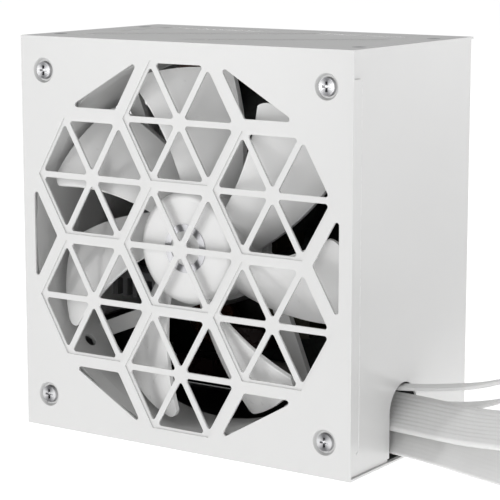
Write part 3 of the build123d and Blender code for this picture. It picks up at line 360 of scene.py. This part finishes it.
def cable_sheath():
    """Satin white sheath with drawing marks along the wires and a little bloom."""
    sheath = Finish("cable_sheath")
    tone = (0.87, 0.87, 0.865)
    along = sheath.nodes.new("ShaderNodeUVMap")
    along.uv_map = "run"
    mapping = sheath.nodes.new("ShaderNodeMapping")
    mapping.inputs["Scale"].default_value = (40, 9000, 1)
    sheath.link(along.outputs["UV"], mapping.inputs["Vector"])
    marks = sheath.noise(1.0, 3, 0.6, mapping.outputs["Vector"])
    cloud = sheath.noise(70, 3)
    worn = sheath.ramp(cloud, [(0.3, shade(tone, 0.95)), (0.7, tone)])
    streaks = sheath.ramp(marks, [(0.25, (0.90, 0.90, 0.90)), (0.75, (1.0, 1.0, 1.0))])
    sheath.colour(sheath.mix(sheath.spread(cloud, 0.35, 0.8), worn, streaks, "MULTIPLY"))
    sheath.roughness(sheath.spread(sheath.noise(190, 3), 0.42, 0.54))
    sheath.bump(marks, 0.12, 0.00004)
    sheath.bump(sheath.noise(1200, 2), 0.10, 0.00003)
    return sheath.set(Specular_IOR_Level=0.45).material


def loop_strap():
    """Woven hook-and-loop strap."""
    strap = Finish("loop_strap")
    warp = strap.waves(900, "X", 0.3)
    weft = strap.waves(900, "Z", 0.3)
    weave = strap.mix(warp, weft, (0.2, 0.2, 0.2), "MULTIPLY")
    strap.colour(strap.ramp(weave, [(0.1, (0.006, 0.006, 0.006)), (0.8, (0.03, 0.03, 0.03))]))
    strap.roughness(strap.spread(strap.noise(300, 3), 0.75, 0.95))
    strap.bump(weave, 0.5, 0.0002)
    return strap.set(Sheen_Weight=0.4, Sheen_Roughness=0.5).material


FINISHES = {
    "case_paint": white_enamel(),
    "screw_chrome": chrome_plate("screw_chrome"),
    "zinc_steel": drawn_metal("zinc_steel", (0.58, 0.59, 0.60), 0.34),
    "fan_frame_plastic": moulded("fan_frame_plastic", (0.70, 0.70, 0.695), 0.48),
    "fan_blade_plastic": moulded("fan_blade_plastic", (0.93, 0.93, 0.925), 0.32, 700, 0.00002, 0.98,
                                 Coat_Weight=0.3, Coat_Roughness=0.25),
    "badge_foil": drawn_metal("badge_foil", (0.60, 0.60, 0.62), 0.30, (900, 900, 60)),
    "motor_steel": drawn_metal("motor_steel", (0.34, 0.34, 0.35), 0.38),
    "bronze": drawn_metal("bronze", (0.52, 0.34, 0.16), 0.42, (400, 400, 400)),
    "clip_plastic": moulded("clip_plastic", (0.55, 0.52, 0.44), 0.42),
    "ferrite": cast_ferrite(),
    "copper_wire": copper_darkened_as_shade(),
    "winding_tape": winding_tape(),
    "board_black": printed_board(),
    "liner_plastic": moulded("liner_plastic", (0.02, 0.02, 0.02), 0.40, 300),
    "brass_standoff": drawn_metal("brass_standoff", (0.60, 0.43, 0.17), 0.30, (1200, 60, 1200)),
    "heatsink_black": drawn_metal("heatsink_black", (0.20, 0.20, 0.205), 0.45, (60, 1800, 60), 0.3),
    "component_black": moulded("component_black", (0.014, 0.014, 0.014), 0.50, 1300),
    "capacitor_sleeve": shrink_sleeve(),
    # Film capacitor darkened nearly to black as painted shade of the unlit interior.
    "film_capacitor": moulded("film_capacitor", (0.025, 0.012, 0.012), 0.28, 500),
    "fuse_ceramic": moulded("fuse_ceramic", (0.16, 0.15, 0.13), 0.34, 600),
    "inlet_plastic": moulded("inlet_plastic", (0.016, 0.016, 0.017), 0.46, 1100),
    "pin_nickel": drawn_metal("pin_nickel", (0.62, 0.60, 0.55), 0.24, (60, 900, 900)),
    "rocker_plastic": moulded("rocker_plastic", (0.012, 0.012, 0.013), 0.26, 700),
    "bush_plastic": moulded("bush_plastic", (0.012, 0.012, 0.012), 0.55, 900),
    "cable_white": cable_sheath(),
    "plug_plastic": moulded("plug_plastic", (0.018, 0.018, 0.019), 0.40, 1100),
    "tie_fabric": loop_strap(),
}


def finish_frame():
    """Every part that comes from the frame gets the finish of its own slot."""
    for part in frame["record"]["subparts"]:
        node = frame["nodes"][part["node"]]
        for material_slot in node.material_slots:
            material_slot.material = FINISHES[part["material_slot"]]


finish_frame()
# The fan's screws get the chrome with a painted reflection in wedges.
for screw_slot in frame["nodes"]["fan_screws"].material_slots:
    screw_slot.material = chrome_plate("chrome_painted_reflection", fan_side=True)


# ==== Cables ====
# Routes as in the model, in millimetres, from inside the outlet to each coil.
PROCESSOR_ROUTE = [(62, -8.2, 8.5), (78, -9.6, 8.4), (95, -13.4, 8.0), (114, -19.3, 7.8),
                   (134.7, -23.9, 7.7)]
MAIN_ROUTE = [(62, -6.5, 17.4), (77, -7.3, 17.4), (92, -9.8, 17.4), (108, -14.0, 18.2),
              (129.1, -20.0, 21.6)]
DRIVE_ROUTE = [(62, 0.5, 18.6), (76, 1.5, 18.8), (90, 2.4, 20.0), (103, 1.4, 22.8),
               (115, -4.0, 28.0), (126.8, -10.8, 34.0)]
PERIPHERAL_ROUTE = [(62, -4.6, 25.4), (75, -4.7, 26.4), (90, -5.0, 28.6), (104, -6.4, 31.4),
                    (117, -10.4, 36.2), (131.5, -16.3, 40.8)]
# Loose ends from the middle of the stack of coils, down to each plug.
PROCESSOR_TAIL = [(54.9, 0, 7.7), (54.0, 9.5, 7.7), (50.5, 19.0, 7.5), (44.5, 26.5, 6.2),
                  (38.0, 30.0, 5.1)]
MAIN_TAIL = [(25.3, -45.7, 22.5), (32.3, -40.6, 22.5), (41.6, -26.0, 20.0), (42.4, -8.3, 16.0),
             (33.8, 7.2, 12.0), (22.0, 15.5, 7.6), (9.0, 17.0, 5.1)]
DRIVE_TAIL = [(-28.2, 48.8, 34.1), (-38.5, 40.0, 34.1), (-44.5, 28.0, 34.1), (-48.0, 14.0, 30.0),
              (-46.5, 0, 24.0), (-42.0, -13.5, 17.5), (-34.5, -24.5, 11.5), (-25.0, -33.0, 6.5),
              (-13.0, -37.8, 3.7)]
PERIPHERAL_TAIL = [(-48.6, 28.2, 40.8), (-52.5, 14.0, 40.8), (-47.5, 0, 38.5), (-39.0, -12.0, 34.0),
                   (-27.0, -20.5, 27.5), (-13.0, -24.5, 19.5), (0.0, -25.0, 11.5), (7.0, -23.0, 6.0),
                   (8.5, -19.0, 3.8)]
COIL_RADIUS = 64.0
POINTS_PER_TURN = 24


def coil_turns(pitch, first_angle, last_angle, level):
    """Control points of a coil's turns, winding inwards on one level."""
    points = []
    count = round((last_angle - first_angle) / 360 * POINTS_PER_TURN)
    for step in range(count + 1):
        turned = (last_angle - first_angle) * step / count
        radius = COIL_RADIUS - pitch * turned / 360
        angle = radians(first_angle + turned)
        points.append((STACK_MIDDLE.x / MM + radius * cos(angle),
                       STACK_MIDDLE.y / MM + radius * sin(angle), level))
    return points


def in_stack(points):
    return [(STACK_MIDDLE.x / MM + x, STACK_MIDDLE.y / MM + y, z) for x, y, z in points]


def smooth_line(name, points):
    """Points along one smooth NURBS spline through the cable's control points."""
    curve = bpy.data.curves.new(name + "_line", "CURVE")
    curve.dimensions = "3D"
    curve.resolution_u = 6
    spline = curve.splines.new("NURBS")
    spline.points.add(len(points) - 1)
    for point, place in zip(spline.points, points):
        point.co = (*(Vector(place) * MM), 1)
    spline.order_u = 3
    spline.use_endpoint_u = True
    holder = bpy.data.objects.new(name + "_line", curve)
    mesh = bpy.data.meshes.new_from_object(holder)
    line = [vertex.co.copy() for vertex in mesh.vertices]
    bpy.data.objects.remove(holder)
    bpy.data.meshes.remove(mesh)
    return [point for index, point in enumerate(line)
            if index == 0 or (point - line[index - 1]).length > 1e-6]


def at_distance(stations, distance):
    """A value between (distance, value) stations, eased from one to the next."""
    if distance <= stations[0][0]:
        return stations[0][1]
    for (start, first), (end, second) in zip(stations, stations[1:]):
        if distance < end:
            share = (distance - start) / (end - start)
            return first + (second - first) * share * share * (3 - 2 * share)
    return stations[-1][1]


def flat_section(across, thick, wires, groove):
    """Outline of a flat cable: wires side by side, moulded into one strip."""
    outline = []
    steps = 5
    pitch = across / wires
    for side in (1, -1):
        for wire in range(wires):
            for step in range(steps):
                share = (step + 0.5) / steps
                u = side * (-across / 2 + (wire + share) * pitch)
                lobe = 1 - (2 * share - 1) ** 2
                edge = min(across / 2 - abs(u), thick / 2)
                rounding = (1 - (1 - edge / (thick / 2)) ** 2) ** 0.5
                sunk = groove * (1 - lobe) * min(1, rounding * 1.2)
                outline.append((u, side * (thick / 2 * rounding - sunk)))
    return outline


def flat_cable(name, points, section, leans):
    """Sweeps a section along the cable's line; lean slants it from upright, towards the left."""
    line = smooth_line(name, points)
    across = max(u for u, _ in section) - min(u for u, _ in section)
    built = bmesh.new()
    run = built.loops.layers.uv.new("run")
    rings = []
    distance = 0.0
    distances = []
    for index, point in enumerate(line):
        if index:
            distance += (point - line[index - 1]).length
        heading = (line[min(index + 1, len(line) - 1)] - line[max(index - 1, 0)]).normalized()
        left = Vector((0, 0, 1)).cross(heading).normalized()
        up = heading.cross(left)
        lean = radians(at_distance(leans, distance))
        wide = up * cos(lean) + left * sin(lean)
        flat = left * cos(lean) - up * sin(lean)
        rings.append([built.verts.new(point + (wide * u + flat * v) * MM) for u, v in section])
        distances.append(distance)
    count = len(section)
    for index, (near, far) in enumerate(zip(rings, rings[1:])):
        for side in range(count):
            other = (side + 1) % count
            face = built.faces.new((near[side], near[other], far[other], far[side]))
            edges = (section[side][0] + across) * MM, (section[other][0] + across) * MM
            spots = ((distances[index], edges[0]), (distances[index], edges[1]),
                     (distances[index + 1], edges[1]), (distances[index + 1], edges[0]))
            for loop, spot in zip(face.loops, spots):
                loop[run].uv = spot
    built.faces.new(rings[0])
    built.faces.new(list(reversed(rings[-1])))
    piece = mesh_piece(name, built, FINISHES["cable_white"], smooth_angle=60)
    return piece, line, distances[-1]


def make_cable(name, route, turns, tail, size, leans):
    """One flat cable from the outlet through its coil to its loose end."""
    first_angle, last_angle, pitch, level = turns
    across, thick, wires, groove = size
    points = route + coil_turns(pitch, first_angle, last_angle, level) + in_stack(tail)
    section = flat_section(across, thick, wires, groove)
    piece, line, length = flat_cable(name + "_flat", points, section, leans)
    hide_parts(name + "_cable", name + "_coil", name + "_cable_end")
    return piece, line, length


def plug_wires(name, line, across, rows, columns, pitch, row_pitch, heading, radius):
    """Single wires, one for each way of the plug, from a flat cable's end to the plug's back."""
    upwards = Vector((0, 0, 1))
    low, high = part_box(name + "_plug")
    forward = Vector((cos(radians(heading)), sin(radians(heading)), 0))
    left = upwards.cross(forward)
    middle = (Vector(low) + Vector(high)) / 2
    half_depth = abs((Vector(high) - Vector(low)).dot(forward)) / 2
    back = middle - forward * half_depth
    start = line[-1]
    curve = bpy.data.curves.new(name + "_wires", "CURVE")
    curve.dimensions = "3D"
    curve.bevel_depth = radius * MM
    curve.bevel_resolution = 3
    curve.resolution_u = 8
    for wire in range(rows * columns):
        row, column = divmod(wire, columns)
        share = (column + 0.5) / columns - 0.5
        rise = row - (rows - 1) / 2
        begin = (start + left * share * (across - 2 * radius) * MM
                 + upwards * rise * radius * 1.9 * MM)
        end = (back + left * (column - (columns - 1) / 2) * pitch * MM
               + upwards * rise * row_pitch * MM)
        reach = (end - begin).dot(forward) * 0.45
        spline = curve.splines.new("BEZIER")
        spline.bezier_points.add(1)
        ends = (begin - forward * 0.002, end + forward * 0.001)
        for point, place in zip(spline.bezier_points, ends):
            point.co = place
            point.handle_left = place - forward * reach
            point.handle_right = place + forward * reach
    curve.materials.append(FINISHES["cable_white"])
    piece = add_object(name + "_wires", curve)
    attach(piece, "casing")
    return piece


PROCESSOR_WIDTH = 12.8
MAIN_WIDTH = 16.2
THIN_WIDTH = 6.4

# Turns: first angle, last angle, pitch, level. Size: across, thick, wires side by side, groove between
# wires. Leans: distance in metres, lean in degrees.
processor = make_cable("processor", PROCESSOR_ROUTE, (-102, 345, 5.0, 7.7), PROCESSOR_TAIL,
                       (PROCESSOR_WIDTH, 1.8, 8, 0.03),
                       ((0, 35), (0.05, 38), (0.10, 0), (0.585, 0), (0.625, 90)))
main = make_cable("main", MAIN_ROUTE, (-106, 284, 6.5, 22.5), MAIN_TAIL,
                  (MAIN_WIDTH, 3.6, 10, 0.32),
                  ((0, 46), (0.052, 50), (0.105, 0), (0.53, 0), (0.595, 90)))
drive = make_cable("drive", DRIVE_ROUTE, (-120, 465, 3.0, 34.1), DRIVE_TAIL,
                   (THIN_WIDTH, 1.7, 2, 0.40),
                   ((0, 62), (0.03, 78), (0.065, 84), (0.105, 0), (0.80, 0), (0.85, 90)))
peripheral = make_cable("peripheral", PERIPHERAL_ROUTE, (-114, 495, 3.0, 40.8), PERIPHERAL_TAIL,
                        (THIN_WIDTH, 1.7, 2, 0.40),
                        ((0, 88), (0.055, 84), (0.10, 0), (0.83, 0), (0.87, 90)))
processor_wires = plug_wires("processor", processor[1], PROCESSOR_WIDTH, 2, 4, 4.2, 4.8, 180, 0.7)
main_wires = plug_wires("main", main[1], MAIN_WIDTH, 2, 12, 4.3, 4.8, 180, 0.66)
drive_wires = plug_wires("drive", drive[1], THIN_WIDTH, 1, 5, 3.6, 0, 0, 0.62)
peripheral_wires = plug_wires("peripheral", peripheral[1], THIN_WIDTH, 1, 4, 5.0, 0, 90, 0.75)


# ==== Lap edge ====
LAP_EDGE_X = 72.86
LAP_EDGE_RADIUS = 0.24


def make_lap_edge():
    """Rounded edge of the cover's side flange, hooked in at its lower end, coloured brighter than the case
    paint as a painted highlight.
    """
    profile = [(-38.9, 9.0), (-38.1, 9.4), (-37.5, 10.4), (-37.40, 12.0), (-37.40, 16),
               (-37.40, 75), (-37.40, 136), (-37.40, 139.4)]
    points = [(LAP_EDGE_X, y, z) for y, z in profile]
    curve = bpy.data.curves.new("lap_edge", "CURVE")
    curve.dimensions = "3D"
    curve.bevel_depth = LAP_EDGE_RADIUS * MM
    curve.bevel_resolution = 3
    curve.use_fill_caps = True
    spline = curve.splines.new("NURBS")
    spline.points.add(len(points) - 1)
    for point, place in zip(spline.points, points):
        point.co = (*(Vector(place) * MM), 1)
    spline.order_u = 3
    spline.use_endpoint_u = True
    highlight_bead = Finish("edge_painted_highlight")
    # Colour brighter than the case paint: a painted highlight along the flange's edge.
    highlight_bead.colour(highlight_bead.ramp(highlight_bead.noise(90, 3), [(0.3, (0.93, 0.93, 0.93)), (0.7, (0.98, 0.98, 0.98))]))
    highlight_bead.roughness(highlight_bead.spread(highlight_bead.noise(200, 3), 0.22, 0.32))
    highlight_bead.bump(highlight_bead.noise(900, 3), 0.10, 0.00003)
    curve.materials.append(highlight_bead.set(Coat_Weight=0.4).material)
    piece = add_object("lap_edge", curve)
    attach(piece, "casing")


make_lap_edge()


# ==== Floor and light ====
def make_stage():
    ground = bmesh.new()
    bmesh.ops.create_grid(ground, x_segments=1, y_segments=1, size=6)
    mesh = bpy.data.meshes.new("floor")
    ground.to_mesh(mesh)
    ground.free()
    pale = Finish("pale_floor")
    pale.colour(pale.ramp(pale.noise(6, 2), [(0.3, (0.93, 0.93, 0.93)), (0.7, (0.95, 0.95, 0.95))]))
    pale.set(Roughness=0.9, Specular_IOR_Level=0.0, Emission_Color=(1, 1, 1, 1), Emission_Strength=0.64)
    mesh.materials.append(pale.material)
    floor = add_object("floor", mesh)


def area_light(name, place, target, width, power, height):
    data = bpy.data.lights.new(name, "AREA")
    data.shape = "RECTANGLE"
    data.size = width
    data.size_y = height
    data.energy = power
    light = add_object(name, data)
    light.location = place
    light.rotation_euler = (Vector(target) - Vector(place)).to_track_quat("-Z", "Y").to_euler()


def make_light():
    world = bpy.data.worlds.new("studio")
    world.use_nodes = True
    background = world.node_tree.nodes["Background"]
    background.inputs["Color"].default_value = (1, 1, 1, 1)
    background.inputs["Strength"].default_value = 0.39
    bpy.context.scene.world = world
    bpy.context.scene.view_settings.view_transform = "Standard"
    area_light("key", (-1.02, -1.52, 0.30), CASE_CENTRE, 0.16, 5.5, 1.3)
    area_light("front", (0.25, -1.7, 0.25), CASE_CENTRE, 0.5, 0.6, 0.8)
    area_light("top", (0.0, -0.1, 1.5), (0, 0, 0.1), 1.0, 4.8, 1.0)
    area_light("side", (0.95, 1.60, 0.45), (0.07, 0, 0.075), 1.0, 3.8, 1.2)


make_stage()
make_light()
